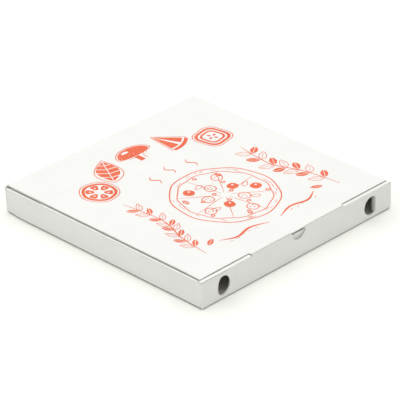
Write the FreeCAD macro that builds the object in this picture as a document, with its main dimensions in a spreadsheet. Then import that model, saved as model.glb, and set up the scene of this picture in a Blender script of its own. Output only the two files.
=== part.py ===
import FreeCAD, Part
import math
import os

import Sketcher

# Pizza box: one die-cut sheet of thin corrugated board, folded up into a tray and a lid.
# The frame: +Z is up, the origin is at the middle of the underside, and the front wall,
# with its thumb notch and two vents, is at -Y. The lid turns on the crease at +Y.

SIZES = {
    # the whole box, closed
    "box_width": 280.0,
    "box_depth": 280.0,
    "box_height": 32.0,
    "board": 1.5,
    # clearances between folded layers
    "layer_gap": 0.3,
    "lid_gap": 0.4,
    # walls
    "side_height": 30.0,
    "strip_top": 31.0,
    "strip_depth": 5.1,
    "middle_half_width": 68.5,
    "slit": 0.5,
    # thumb notch and vents
    "notch_radius": 10.5,
    "vent_radius": 10.5,
    "vent_spread": 110.2,
    "vent_height": 15.2,
    "vent_hinge": 6.7,
    "vent_swing": 112.0,
    "vent_bend": 0.5,
    # parts of the sheet tucked inside the tray
    "front_ear": 12.0,
    "rear_ear": 30.0,
    "ear_top": 29.0,
    "arch_half_width": 18.0,
    "arch_top": 26.0,
    "arch_corner": 6.0,
    "lock_width": 14.0,
    "lock_inset": 4.0,
    # lid flaps
    "lid_end_gap": 0.6,
    "tab_length": 22.0,
    "tab_lean": 5.0,
    "tab_inset": 1.5,
    "tab_corner": 10.0,
    "flap_length": 20.0,
    "flap_inset": 12.0,
    "flap_slant": 10.0,
    # rounding of the folds
    "fold_radius": 1.2,
    "strip_radius": 1.8,
}

doc = FreeCAD.newDocument("pizza_box")
sheet = doc.addObject("Spreadsheet::Sheet", "Sizes")


class Term:
    """A size worked out from the sheet: its value now, and the expression that gives it."""

    def __init__(self, text, value):
        self.text = text
        self.value = value

    def join(self, sign, other, value):
        return Term("(" + self.text + " " + sign + " " + as_term(other).text + ")", value)

    def __add__(self, other):
        return self.join("+", other, self.value + as_term(other).value)

    def __sub__(self, other):
        return self.join("-", other, self.value - as_term(other).value)

    def __mul__(self, other):
        return self.join("*", other, self.value * as_term(other).value)

    def __truediv__(self, other):
        return self.join("/", other, self.value / as_term(other).value)

    def __neg__(self):
        return Term("(0 - " + self.text + ")", -self.value)


def as_term(number):
    if isinstance(number, Term):
        return number
    return Term(repr(float(number)), float(number))


def root(term):
    return Term("sqrt(" + term.text + ")", math.sqrt(term.value))


def sine(term):
    return Term("sin(" + term.text + " * 1 deg)", math.sin(math.radians(term.value)))


def cosine(term):
    return Term("cos(" + term.text + " * 1 deg)", math.cos(math.radians(term.value)))


def fill_sheet():
    """Writes each size into the sheet and returns it as a term."""
    terms = {}
    for row, (name, value) in enumerate(SIZES.items(), start=1):
        sheet.set("A%d" % row, name)
        sheet.set("B%d" % row, str(value))
        sheet.setAlias("B%d" % row, name)
        terms[name] = Term("Sizes." + name, value)
    doc.recompute()
    return terms


size = fill_sheet()
board = size["board"]
half_width = size["box_width"] / 2
half_depth = size["box_depth"] / 2
layer_gap = size["layer_gap"]
zero = as_term(0)

# Places that more than one fold shares
lid_under = size["box_height"] - board
front_face = -half_depth
ply_inside = front_face + board
strip_inside = front_face + size["strip_depth"]
middle_edge = size["middle_half_width"]
end_start = middle_edge + size["slit"]
wall_inside = half_width - board
strip_under = size["strip_top"] - board
lid_edge = wall_inside - size["lid_gap"]
lid_front = ply_inside + layer_gap
lid_end_front = strip_inside + size["lid_end_gap"]


def origin_plane(body, role):
    for feature in body.Origin.OriginFeatures:
        if feature.Role == role:
            return feature
    raise ValueError("no plane " + role)


def new_body(name):
    body = doc.addObject("PartDesign::Body", name)
    body.Label = name
    return body


def new_sketch(body, name, role, offset):
    """A sketch on one of the body's own planes, moved off it along the plane's normal."""
    sketch = body.newObject("Sketcher::SketchObject", name + "_sketch")
    sketch.AttachmentSupport = (origin_plane(body, role), "")
    sketch.MapMode = "FlatFace"
    sketch.setExpression(".AttachmentOffset.Base.z", offset.text)
    return sketch


def flat_sketch(body, name, height):
    """A plan view, drawn in X and Y at a height."""
    return new_sketch(body, name, "XY_Plane", height)


def front_sketch(body, name, place):
    """A front view, drawn in X and Z at a place along Y: its plane's normal is -Y."""
    return new_sketch(body, name, "XZ_Plane", -place)


def side_sketch(body, name, place):
    """A side view, drawn in Y and Z at a place along X."""
    return new_sketch(body, name, "YZ_Plane", place)


def bind_constraint(sketch, kind, items, term):
    index = sketch.addConstraint(Sketcher.Constraint(kind, *items, term.value))
    sketch.setExpression("Constraints[%d]" % index, term.text)


def pin_point(sketch, curve, end, across, along):
    """Fixes one point of a sketch at a place worked out from the sheet."""
    bind_constraint(sketch, "DistanceX", (-1, 1, curve, end), across)
    bind_constraint(sketch, "DistanceY", (-1, 1, curve, end), along)


def draw_outline(sketch, corners):
    """A closed outline of straight lines through the corners."""
    first = sketch.GeometryCount
    count = len(corners)
    places = [FreeCAD.Vector(across.value, along.value, 0) for across, along in corners]
    for step in range(count):
        sketch.addGeometry(Part.LineSegment(places[step], places[(step + 1) % count]), False)
    for step in range(count):
        following = first + (step + 1) % count
        sketch.addConstraint(Sketcher.Constraint("Coincident", first + step, 2, following, 1))
    for step, (across, along) in enumerate(corners):
        pin_point(sketch, first + step, 1, across, along)


def draw_rectangle(sketch, left, right, low, high):
    draw_outline(sketch, [(left, low), (right, low), (right, high), (left, high)])


def draw_circle(sketch, across, along, radius):
    centre = FreeCAD.Vector(across.value, along.value, 0)
    circle = Part.Circle(centre, FreeCAD.Vector(0, 0, 1), radius.value)
    curve = sketch.addGeometry(circle, False)
    pin_point(sketch, curve, 3, across, along)
    bind_constraint(sketch, "Radius", (curve,), radius)


def draw_cut_disc(sketch, across, along, radius, chord):
    """A disc with one side cut off by an upright chord: chord is the place of that line."""
    centre = FreeCAD.Vector(across.value, along.value, 0)
    circle = Part.Circle(centre, FreeCAD.Vector(0, 0, 1), radius.value)
    reach = chord.value - across.value
    angle = math.acos(abs(reach) / radius.value)
    if reach > 0:
        arc = Part.ArcOfCircle(circle, angle, 2 * math.pi - angle)
    else:
        arc = Part.ArcOfCircle(circle, angle - math.pi, math.pi - angle)
    curve = sketch.addGeometry(arc, False)
    start = arc.StartPoint
    finish = arc.EndPoint
    line = sketch.addGeometry(Part.LineSegment(finish, start), False)
    sketch.addConstraint(Sketcher.Constraint("Coincident", curve, 2, line, 1))
    sketch.addConstraint(Sketcher.Constraint("Coincident", line, 2, curve, 1))
    sketch.addConstraint(Sketcher.Constraint("Vertical", line))
    pin_point(sketch, curve, 3, across, along)
    bind_constraint(sketch, "Radius", (curve,), radius)
    bind_constraint(sketch, "DistanceX", (-1, 1, line, 1), chord)


def pad(body, name, sketch, length, reverse=False):
    feature = body.newObject("PartDesign::Pad", name)
    feature.Profile = (sketch, [""])
    feature.Reversed = reverse
    feature.setExpression("Length", length.text)
    doc.recompute()
    return feature


def pocket(body, name, sketch, length, reverse=False):
    """Cuts against the sketch's normal, or along it, and makes sure that something went."""
    before = body.Shape.Volume
    feature = body.newObject("PartDesign::Pocket", name)
    feature.Profile = (sketch, [""])
    feature.Reversed = reverse
    feature.setExpression("Length", length.text)
    doc.recompute()
    if not feature.Shape.Volume < before:
        raise ValueError(name + " cuts nothing")
    return feature


def mirror(body, name, features):
    """Repeats features on the other side of the box."""
    copy = body.newObject("PartDesign::Mirrored", name)
    copy.Originals = features
    copy.MirrorPlane = (origin_plane(body, "YZ_Plane"), [""])
    body.Tip = copy
    doc.recompute()
    return copy


def straight_edges(shape, across=None, along=None, up=None):
    """Names of the straight edges whose middle lies at the places that are given."""
    names = []
    near = 0.01
    for number, edge in enumerate(shape.Edges, start=1):
        if not isinstance(edge.Curve, Part.Line):
            continue
        ends = [vertex.Point for vertex in edge.Vertexes]
        wanted = ((across, "x"), (along, "y"), (up, "z"))
        fits = all(
            abs(getattr(end, axis) - place) < near
            for place, axis in wanted if place is not None for end in ends
        )
        if fits:
            names.append("Edge%d" % number)
    return names


def round_edges(body, name, edges, radius):
    """Rounds the outside of a fold."""
    base = body.Tip
    fillet = body.newObject("PartDesign::Fillet", name)
    fillet.Base = (base, edges)
    fillet.setExpression("Radius", radius.text)
    doc.recompute()
    return fillet


def make_walls(tray):
    """The base panel and the four walls that stand on its creases."""
    sketch = flat_sketch(tray, "base", zero)
    draw_rectangle(sketch, -half_width, half_width, -half_depth, half_depth)
    pad(tray, "base", sketch, board)

    # The front wall's outer layer stands to the lid's top in the middle. A slit on each side
    # sets it free of the rolled ends, and reaches down past the fold's rounding
    slit_foot = size["strip_top"] - size["strip_radius"] - size["slit"]
    sketch = front_sketch(tray, "front_wall", front_face)
    draw_outline(sketch, [
        (-half_width, zero),
        (half_width, zero),
        (half_width, strip_under),
        (end_start, strip_under),
        (end_start, slit_foot),
        (middle_edge, slit_foot),
        (middle_edge, size["box_height"]),
        (-middle_edge, size["box_height"]),
        (-middle_edge, slit_foot),
        (-end_start, slit_foot),
        (-end_start, strip_under),
        (-half_width, strip_under),
    ])
    pad(tray, "front_wall", sketch, board, reverse=True)

    sketch = front_sketch(tray, "rear_wall", half_depth)
    draw_rectangle(sketch, -half_width, half_width, zero, lid_under)
    pad(tray, "rear_wall", sketch, board)

    # A side wall steps down at its front end, under the rolled strip
    sketch = side_sketch(tray, "side_wall", wall_inside)
    draw_outline(sketch, [
        (ply_inside + layer_gap, zero),
        (half_depth - board - layer_gap, zero),
        (half_depth - board - layer_gap, size["side_height"]),
        (strip_inside + layer_gap, size["side_height"]),
        (strip_inside + layer_gap, strip_under - layer_gap),
        (ply_inside + layer_gap, strip_under - layer_gap),
    ])
    return [pad(tray, "side_wall", sketch, board)]


def make_ears(tray):
    """The ends of a side wall, folded in behind the front wall and the rear wall."""
    ear_foot = board + layer_gap
    ear_height = size["ear_top"] - ear_foot
    sketch = flat_sketch(tray, "front_ear", ear_foot)
    front = ply_inside + layer_gap
    draw_rectangle(sketch, wall_inside - size["front_ear"], wall_inside, front, front + board)
    front_ear = pad(tray, "front_ear", sketch, ear_height)

    sketch = flat_sketch(tray, "rear_ear", ear_foot)
    rear = half_depth - board - layer_gap
    draw_rectangle(sketch, wall_inside - size["rear_ear"], wall_inside, rear - board, rear)
    rear_ear = pad(tray, "rear_ear", sketch, ear_height)
    return [front_ear, rear_ear]


def make_vent(tray):
    """A round vent punched in the front wall, its disc pushed in and left on its hinge."""
    hinge = size["vent_spread"] + size["vent_hinge"]
    sketch = front_sketch(tray, "vent", front_face)
    draw_cut_disc(sketch, size["vent_spread"], size["vent_height"], size["vent_radius"], hinge)
    hole = pocket(tray, "vent", sketch, board)

    # The disc turns about the bend's centre, which lies behind the wall at the hinge
    half_chord = root(size["vent_radius"] * size["vent_radius"]
                      - size["vent_hinge"] * size["vent_hinge"])
    inner = size["vent_bend"]
    outer = inner + board
    bend_y = ply_inside + inner
    lean_x = sine(size["vent_swing"])
    lean_y = cosine(size["vent_swing"])
    sketch = flat_sketch(tray, "vent_bend", size["vent_height"] - half_chord)
    draw_bend(sketch, hinge, bend_y, inner, outer, lean_x, lean_y)
    bend = pad(tray, "vent_bend", sketch, half_chord * 2)

    # The flat of the disc, past the bend, in a plane that stands at the swing's angle
    bend_length = (inner + board / 2) * size["vent_swing"] * (math.pi / 180)
    disc_centre = size["vent_hinge"] - bend_length
    disc_radius = root(half_chord * half_chord + disc_centre * disc_centre)
    sketch = front_sketch(tray, "vent_disc", bend_y - outer * lean_y)
    sketch.setExpression(".AttachmentOffset.Base.x", (hinge - outer * lean_x).text)
    sketch.setExpression(".AttachmentOffset.Base.y", size["vent_height"].text)
    turn = as_term(180) - size["vent_swing"]
    sketch.AttachmentOffset = FreeCAD.Placement(
        sketch.AttachmentOffset.Base, FreeCAD.Rotation(FreeCAD.Vector(0, 1, 0), turn.value))
    sketch.setExpression(".AttachmentOffset.Rotation.Angle", turn.text)
    draw_cut_disc(sketch, disc_centre, zero, disc_radius, zero)
    disc = pad(tray, "vent_disc", sketch, board)
    return [hole, bend, disc]


def draw_bend(sketch, centre_x, centre_y, inner, outer, lean_x, lean_y):
    """A bent strip's section: two arcs about one centre, from straight down to the lean."""
    middle = FreeCAD.Vector(centre_x.value, centre_y.value, 0)
    up = FreeCAD.Vector(0, 0, 1)
    down_angle = 1.5 * math.pi
    lean_angle = math.atan2(-lean_y.value, -lean_x.value) % (2 * math.pi)
    curves = []
    for radius in (outer, inner):
        circle = Part.Circle(middle, up, radius.value)
        arc = Part.ArcOfCircle(circle, lean_angle, down_angle)
        curves.append((sketch.addGeometry(arc, False), arc, radius))
    (far_curve, far_arc, far_radius), (near_curve, near_arc, near_radius) = curves
    foot = sketch.addGeometry(Part.LineSegment(far_arc.EndPoint, near_arc.EndPoint), False)
    tip = sketch.addGeometry(Part.LineSegment(near_arc.StartPoint, far_arc.StartPoint), False)
    for first, first_end, second, second_end in (
            (far_curve, 2, foot, 1), (foot, 2, near_curve, 2),
            (near_curve, 1, tip, 1), (tip, 2, far_curve, 1)):
        joint = Sketcher.Constraint("Coincident", first, first_end, second, second_end)
        sketch.addConstraint(joint)
    for line, x_part, y_part in ((foot, zero, as_term(1)), (tip, lean_x, lean_y)):
        start, end = (far_radius, near_radius) if line == foot else (near_radius, far_radius)
        pin_point(sketch, line, 1, centre_x - start * x_part, centre_y - start * y_part)
        pin_point(sketch, line, 2, centre_x - end * x_part, centre_y - end * y_part)
    for curve in (far_curve, near_curve):
        bind_constraint(sketch, "DistanceX", (-1, 1, curve, 3), centre_x)


def make_rolled_end(tray):
    """One end of the front wall, rolled over the ear: a strip on top and a wing inside."""
    sketch = front_sketch(tray, "strip", front_face)
    draw_rectangle(sketch, end_start, half_width, strip_under, size["strip_top"])
    strip = pad(tray, "strip", sketch, size["strip_depth"], reverse=True)

    # The wing reaches the base on two legs, with an arch clear of the vent between them
    foot = board + layer_gap
    left = size["vent_spread"] - size["arch_half_width"]
    right = size["vent_spread"] + size["arch_half_width"]
    shoulder = size["arch_top"] - size["arch_corner"]
    sketch = front_sketch(tray, "wing", strip_inside)
    draw_outline(sketch, [
        (end_start, foot),
        (left, foot),
        (left, shoulder),
        (left + size["arch_corner"], size["arch_top"]),
        (right - size["arch_corner"], size["arch_top"]),
        (right, shoulder),
        (right, foot),
        (wall_inside - layer_gap, foot),
        (wall_inside - layer_gap, size["strip_top"]),
        (end_start, size["strip_top"]),
    ])
    wing = pad(tray, "wing", sketch, board)

    # A small tab under the wing locks into a slot in the base
    lock_left = end_start + size["lock_inset"]
    lock_right = lock_left + size["lock_width"]
    sketch = flat_sketch(tray, "lock_slot", zero)
    draw_rectangle(sketch, lock_left - layer_gap, lock_right + layer_gap,
                   strip_inside - board - layer_gap, strip_inside + layer_gap)
    slot = pocket(tray, "lock_slot", sketch, board, reverse=True)
    sketch = front_sketch(tray, "lock_tab", strip_inside)
    draw_rectangle(sketch, lock_left, lock_right, layer_gap, foot)
    tab = pad(tray, "lock_tab", sketch, board)
    return [strip, wing, slot, tab]


def make_tray():
    tray = new_body("tray")
    one_side = make_walls(tray)

    sketch = front_sketch(tray, "notch", front_face)
    draw_circle(sketch, zero, size["box_height"], size["notch_radius"])
    pocket(tray, "notch", sketch, board)

    one_side += make_ears(tray)
    one_side += make_vent(tray)
    one_side += make_rolled_end(tray)
    mirror(tray, "other_side", one_side)

    shape = tray.Tip.Shape
    edges = straight_edges(shape, along=front_face.value, up=0)
    edges += straight_edges(shape, along=half_depth.value, up=0)
    edges += straight_edges(shape, across=half_width.value, up=0)
    edges += straight_edges(shape, across=-half_width.value, up=0)
    round_edges(tray, "base_folds", edges, size["fold_radius"])
    shape = tray.Tip.Shape
    edges = straight_edges(shape, along=front_face.value, up=size["strip_top"].value)
    round_edges(tray, "strip_folds", edges, size["strip_radius"])
    return tray


def make_lid():
    lid = new_body("lid")
    sketch = flat_sketch(lid, "panel", lid_under)
    draw_outline(sketch, [
        (-lid_edge, half_depth),
        (-lid_edge, lid_end_front),
        (-middle_edge + size["slit"], lid_end_front),
        (-middle_edge + size["slit"], lid_front),
        (middle_edge - size["slit"], lid_front),
        (middle_edge - size["slit"], lid_end_front),
        (lid_edge, lid_end_front),
        (lid_edge, half_depth),
    ])
    pad(lid, "panel", sketch, board)

    # The tuck tab leans inward, so that its tip clears the front wall as the lid turns
    tab_half = middle_edge - size["tab_inset"]
    drop_y = size["tab_length"] * sine(size["tab_lean"])
    drop_z = size["tab_length"] * cosine(size["tab_lean"])
    thick_y = board * cosine(size["tab_lean"])
    thick_z = board * sine(size["tab_lean"])
    top = size["box_height"] - size["fold_radius"]
    sketch = side_sketch(lid, "tab", -tab_half)
    draw_outline(sketch, [
        (lid_front, top),
        (lid_front, lid_under),
        (lid_front + drop_y, lid_under - drop_z),
        (lid_front + drop_y + thick_y, lid_under - drop_z + thick_z),
        (lid_front + thick_y, lid_under + thick_z),
        (lid_front + thick_y, top),
    ])
    pad(lid, "tab", sketch, tab_half * 2)

    # The tab's lower corners are cut at a slant
    sketch = front_sketch(lid, "tab_corners", lid_front)
    tip = lid_under - size["tab_length"]
    corner = size["tab_corner"]
    for side in (1, -1):
        draw_outline(sketch, [
            (tab_half * side, tip),
            (tab_half * side, tip + corner),
            ((tab_half - corner) * side, tip),
        ])
    pocket(lid, "tab_corners", sketch, board * 2 + drop_y)

    # A side flap hangs inside each side wall
    sketch = side_sketch(lid, "side_flap", lid_edge)
    flap_front = lid_end_front + size["flap_inset"]
    flap_rear = half_depth - size["flap_inset"]
    tip = lid_under - size["flap_length"]
    draw_outline(sketch, [
        (flap_front, lid_under),
        (flap_front + size["flap_slant"], tip),
        (flap_rear - size["flap_slant"], tip),
        (flap_rear, lid_under),
        (flap_rear, top),
        (flap_front, top),
    ])
    flap = pad(lid, "side_flap", sketch, board, reverse=True)
    mirror(lid, "other_flap", [flap])

    shape = lid.Tip.Shape
    high = size["box_height"].value
    edges = straight_edges(shape, along=lid_front.value, up=high)
    edges += straight_edges(shape, across=lid_edge.value, up=high)
    edges += straight_edges(shape, across=-lid_edge.value, up=high)
    edges += straight_edges(shape, along=half_depth.value, up=high)
    round_edges(lid, "lid_folds", edges, size["fold_radius"])
    return lid


def check_document(bodies):
    for item in doc.Objects:
        bad = [word for word in item.State if word in ("Invalid", "Error")]
        if bad:
            raise ValueError(item.Name + " failed: " + ", ".join(bad))
    for body in bodies:
        shape = body.Shape
        if shape.isNull() or not shape.isValid() or len(shape.Solids) != 1:
            raise ValueError(body.Label + " is not one valid solid")


def write_parts(bodies):
    os.makedirs("parts", exist_ok=True)
    for body in bodies:
        body.Shape.exportStep("parts/" + body.Label + ".step")
        box = body.Shape.BoundBox
        print(body.Label, "volume", round(body.Shape.Volume), "solids", len(body.Shape.Solids),
              "box", [round(v, 2) for v in (box.XMin, box.YMin, box.ZMin,
                                            box.XMax, box.YMax, box.ZMax)])


bodies = [make_tray(), make_lid()]
doc.recompute()
check_document(bodies)
write_parts(bodies)
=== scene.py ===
import math

import bpy
import numpy as np
from mathutils import Matrix, Vector


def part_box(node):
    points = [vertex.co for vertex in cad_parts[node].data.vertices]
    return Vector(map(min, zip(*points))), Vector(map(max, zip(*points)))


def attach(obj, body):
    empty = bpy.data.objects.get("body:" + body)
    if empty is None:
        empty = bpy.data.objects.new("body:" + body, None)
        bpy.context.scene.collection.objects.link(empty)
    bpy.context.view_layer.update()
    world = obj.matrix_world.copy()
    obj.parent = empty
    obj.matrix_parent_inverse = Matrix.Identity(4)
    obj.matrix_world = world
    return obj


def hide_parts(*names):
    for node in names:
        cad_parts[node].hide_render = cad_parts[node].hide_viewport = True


# A flat takeaway pizza box, folded from one sheet of thin white corrugated board.
# Everything is worked out in millimetres and turned into metres when a mesh is made.

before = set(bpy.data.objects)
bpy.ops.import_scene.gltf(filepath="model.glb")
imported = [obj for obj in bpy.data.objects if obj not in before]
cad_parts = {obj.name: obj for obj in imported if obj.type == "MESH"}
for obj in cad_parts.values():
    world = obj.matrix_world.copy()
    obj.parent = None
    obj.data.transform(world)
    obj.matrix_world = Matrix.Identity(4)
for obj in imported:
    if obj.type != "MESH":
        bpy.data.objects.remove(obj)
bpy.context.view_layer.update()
metre = 0.001  # metres in one millimetre

halfWidth, halfDepth = [float(value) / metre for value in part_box("tray")[1][:2]]

board = {
    "thick": 1.5,
    "crushed": 0.8,       # thickness where a fold presses the flutes flat
    "fluteWave": 3.3,     # one wave of the inner ply
    "rimShares": [0, 0.15, 0.21, 0.5, 0.79, 0.85, 1],   # rows across a cut edge
    "rimDepth": [0, 0, 0.22, 0.22, 0.22, 0, 0],         # how deep the flutes sit in it
    "gap": 0.3,
    "sharpAngle": 0.7,    # faces that meet at more than this, in radians, have a sharp edge
}


# Places from a start on, by stretches: each is divided evenly up to its end, in cells no
# wider than its step
def divide(start, *stretches):
    places = [np.array([start], float)]
    for end, step in stretches:
        low = places[-1][-1]
        count = max(1, math.ceil((end - low) / step - 0.001))
        places.append(np.linspace(low, end, count + 1)[1:])
    return np.concatenate(places)


def mirrored(places):
    return np.concatenate([-places[:0:-1], places])


# The board's outer face in one plane: straight runs and round folds, one after another.
# A run is start + t * heading. A fold is hub + radius * outward(heading), and its heading
# turns away from the outer side. Pressed is sin(pi * share) along a fold, and 0 on a run
def foldPath(start, heading, legs, side=1):
    place, bearing, gone = np.array(start, float), math.radians(heading), 0.0
    points, outward, travel, pressed = [], [], [], []
    for leg in legs:
        facing = side * np.array([-math.sin(bearing), math.cos(bearing)])
        if "run" in leg:
            steps = np.asarray(leg["run"], float)
            ahead = np.array([math.cos(bearing), math.sin(bearing)])
            spots = place + steps[:, None] * ahead
            facings = np.repeat(facing[None], len(steps), 0)
            passed, soft = gone + steps, np.zeros(len(steps))
        else:
            share = np.linspace(0, 1, leg["steps"] + 1)
            bearings = bearing - side * math.radians(leg["turn"]) * share
            facings = side * np.stack([-np.sin(bearings), np.cos(bearings)], 1)
            spots = place - leg["radius"] * facing + leg["radius"] * facings
            passed = gone + leg["radius"] * math.radians(leg["turn"]) * share
            soft = np.sin(np.pi * share)
            bearing = bearings[-1]
        first = 1 if points else 0
        points.append(spots[first:])
        outward.append(facings[first:])
        travel.append(passed[first:])
        pressed.append(soft[first:])
        place, gone = spots[-1], passed[-1]
    return {"points": np.concatenate(points), "outward": np.concatenate(outward),
            "travel": np.concatenate(travel), "pressed": np.concatenate(pressed)}


# A fold through a right angle
def quarter(radius, steps=6):
    return {"turn": 90, "radius": radius, "steps": steps}


planeAxes = {"x": (1, 2, 0), "y": (0, 2, 1), "z": (0, 1, 2)}


# A path carried along an axis: outer point = (path point, place), inner point = outer point
# minus the board's thickness there. Flat gives each grid point its place on the flat sheet
def carryPath(path, along, places, flat, keep=None):
    first, second, third = planeAxes[along]
    places = np.asarray(places, float)
    shape = (len(places), len(path["points"]), 3)
    outer, facing = np.zeros(shape), np.zeros(shape)
    outer[..., [first, second]], facing[..., [first, second]] = path["points"], path["outward"]
    outer[..., third] = places if places.ndim > 1 else places[:, None]
    thick = board["thick"] - (board["thick"] - board["crushed"]) * path["pressed"]
    return {
        "outer": outer, "inner": outer - facing * thick[None, :, None], "facing": facing,
        "flat": np.stack(np.broadcast_arrays(*flat), -1),
        "crease": np.broadcast_to(path["pressed"][None], shape[:2]),
        "keep": np.ones((shape[0] - 1, shape[1] - 1), bool) if keep is None else keep,
    }


# Vectors, one in each row, brought to a length of one
def unit(vectors):
    return vectors / np.maximum(np.linalg.norm(vectors, axis=1, keepdims=True), 1e-6)


# The middle of each cell of a grid of places
def middles(places):
    return (places[1:] + places[:-1]) / 2


# The places of a grid that lie within a reach of the middle
def within(places, reach):
    return places[np.abs(places) <= reach + 0.01]


# The same patch on the other side of the box
def otherSide(patch):
    twin = dict(patch)
    for name, axes in (("outer", 3), ("inner", 3), ("facing", 3), ("flat", 2)):
        twin[name] = patch[name] * np.array([-1, 1, 1][:axes])
    return twin


# Patches joined into one sheet: grid cells become quads that face outwards, and grid
# points that share a place become one
def joinPatches(patches):
    columns = {"outer": [], "inner": [], "flat": [], "crease": []}
    faces, count = [], 0
    for patch in patches:
        outer = patch["outer"]
        index = np.arange(outer.shape[0] * outer.shape[1]).reshape(outer.shape[:2]) + count
        quads = np.stack([index[:-1, :-1], index[1:, :-1], index[1:, 1:], index[:-1, 1:]], -1)
        across = outer[1:, :-1] - outer[:-1, :-1]
        ahead = outer[:-1, 1:] - outer[:-1, :-1]
        turned = (np.cross(across, ahead) * patch["facing"][:-1, :-1]).sum(-1) < 0
        quads[turned] = quads[turned][:, ::-1]
        faces.append(quads[patch["keep"]])
        count += index.size
        for name in columns:
            columns[name].append(patch[name].reshape(index.size, -1))
    columns = {name: np.concatenate(values) for name, values in columns.items()}
    faces = np.concatenate(faces)
    key = np.round(np.hstack([columns["outer"], columns["inner"]]) * 100 + 0.137).astype(int)
    _, first, same = np.unique(key, axis=0, return_index=True, return_inverse=True)
    sheet = {name: values[first] for name, values in columns.items()}
    sheet["faces"] = same.reshape(-1)[faces]
    return sheet


# A smooth step from 0 to 1 between two places: t * t * (3 - 2 * t)
def smooth(value, low, high):
    share = np.clip((value - low) / (high - low), 0, 1)
    return share * share * (3 - 2 * share)


# Bends the sheet: each place moves by a smooth shift, its outer and inner points together
def bendSheet(sheet, shift):
    move = shift(sheet["outer"])
    sheet["outer"] = sheet["outer"] + move
    sheet["inner"] = sheet["inner"] + move


# Signed distance to a box with round corners, in two dimensions: negative inside
def roundBox(points, centre, half, radius):
    reach = np.abs(points - np.array(centre)) - np.array(half) + radius
    outside = np.linalg.norm(np.maximum(reach, 0), axis=-1)
    return outside + np.minimum(reach.max(-1), 0) - radius


# The greater of two distances, with the corner where they meet rounded to a radius
def roundMost(first, second, radius):
    both = np.hypot(np.maximum(first + radius, 0), np.maximum(second + radius, 0))
    return np.minimum(np.maximum(first, second), -radius) + both


# Cuts a shape out of the sheet. Faces whose middle has a negative distance go, and the
# vertices on the new edge slide down the distance's slope until it is nought
def cutSheet(sheet, axes, onPanel, distance):
    outer, faces = sheet["outer"], sheet["faces"]
    middle = outer[faces].mean(1)
    gone = onPanel(middle) & (distance(middle[:, axes]) < 0)
    touched = np.zeros(len(outer), bool)
    touched[faces[gone]] = True
    stays = np.zeros(len(outer), bool)
    stays[faces[~gone]] = True
    edge = np.flatnonzero(touched & stays)
    flatSpots = outer[edge][:, axes]
    far = distance(flatSpots)
    nudge = 0.01
    slope = np.stack([distance(flatSpots + np.array(step)) - distance(flatSpots - np.array(step))
                      for step in ((nudge, 0), (0, nudge))], -1) / (2 * nudge)
    steep = np.maximum((slope ** 2).sum(-1), 0.25)
    shift = -slope * (far / steep)[:, None]
    for name in ("outer", "inner"):
        sheet[name][np.ix_(edge, axes)] += shift
    sheet["faces"] = faces[~gone]


# A closed solid from a sheet: its outer faces, its inner faces, and a rim along every cut
# edge. A rim row is outer + share * (inner - outer) + depth * inward
def makeBoard(name, sheet, materials, shares=board["rimShares"], depths=board["rimDepth"]):
    used, index = np.unique(sheet["faces"], return_inverse=True)
    faces = index.reshape(-1, 4)
    outer, inner = sheet["outer"][used], sheet["inner"][used]
    flat, crease = sheet["flat"][used], sheet["crease"][used, 0]
    count = len(outer)
    edges = np.concatenate([faces[:, [turn, (turn + 1) % 4]] for turn in range(4)])
    _, index, times = np.unique(edges.min(1) * count + edges.max(1),
                                return_inverse=True, return_counts=True)
    rim = edges[times[index] == 1]

    # An edge that crosses the flutes shows them open, one along them is pressed shut:
    # open = |x step| / (|x step| + |y step|) on the flat sheet
    through = outer - inner
    thick = np.linalg.norm(through, axis=1, keepdims=True)
    ahead = unit(outer[rim[:, 1]] - outer[rim[:, 0]])
    step = np.abs(flat[rim[:, 1]] - flat[rim[:, 0]])
    crossing = step[:, 0] / np.maximum(step.sum(1), 1e-6)
    inward, total, times = np.zeros_like(outer), np.zeros(count), np.zeros(count)
    for end in rim.T:
        np.add.at(inward, end, np.cross((through / thick)[end], ahead))
        np.add.at(total, end, crossing)
        np.add.at(times, end, 1)
    inward, opened = unit(inward), total / np.maximum(times, 1)

    onRim, row = np.unique(rim, return_inverse=True)
    row = row.reshape(-1, 2)
    rows = [rim]
    points, creases, opens = [outer, inner], [crease, crease], [opened, opened]
    for share, depth in list(zip(shares, depths))[1:-1]:
        depth = depth * opened[onRim][:, None] * thick[onRim] / board["thick"]
        points.append(outer[onRim] - share * through[onRim] + depth * inward[onRim])
        rows.append(row + sum(len(part) for part in points[:-1]))
        creases.append(crease[onRim])
        opens.append(opened[onRim])
    rows.append(rim + count)

    quads, maps = [faces, faces[:, ::-1] + count], [flat[faces], flat[faces[:, ::-1]]]
    for lower, upper, near, far in zip(rows[:-1], rows[1:], shares[:-1], shares[1:]):
        quads.append(np.stack([lower[:, 1], lower[:, 0], upper[:, 0], upper[:, 1]], 1))
        ways = flat[rim[:, [1, 0, 0, 1]]]
        ways[:, :2, 1] = (0.5 - near) * board["thick"]
        ways[:, 2:, 1] = (0.5 - far) * board["thick"]
        maps.append(ways)
    kinds = np.concatenate([np.full(len(part), min(place, 2)) for place, part in enumerate(quads)])
    spots = [("crease", np.concatenate(creases)), ("openFlutes", np.concatenate(opens))]
    return makeMesh(name, np.concatenate(points), np.concatenate(quads), materials, kinds,
                    np.concatenate(maps), spots)


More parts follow.
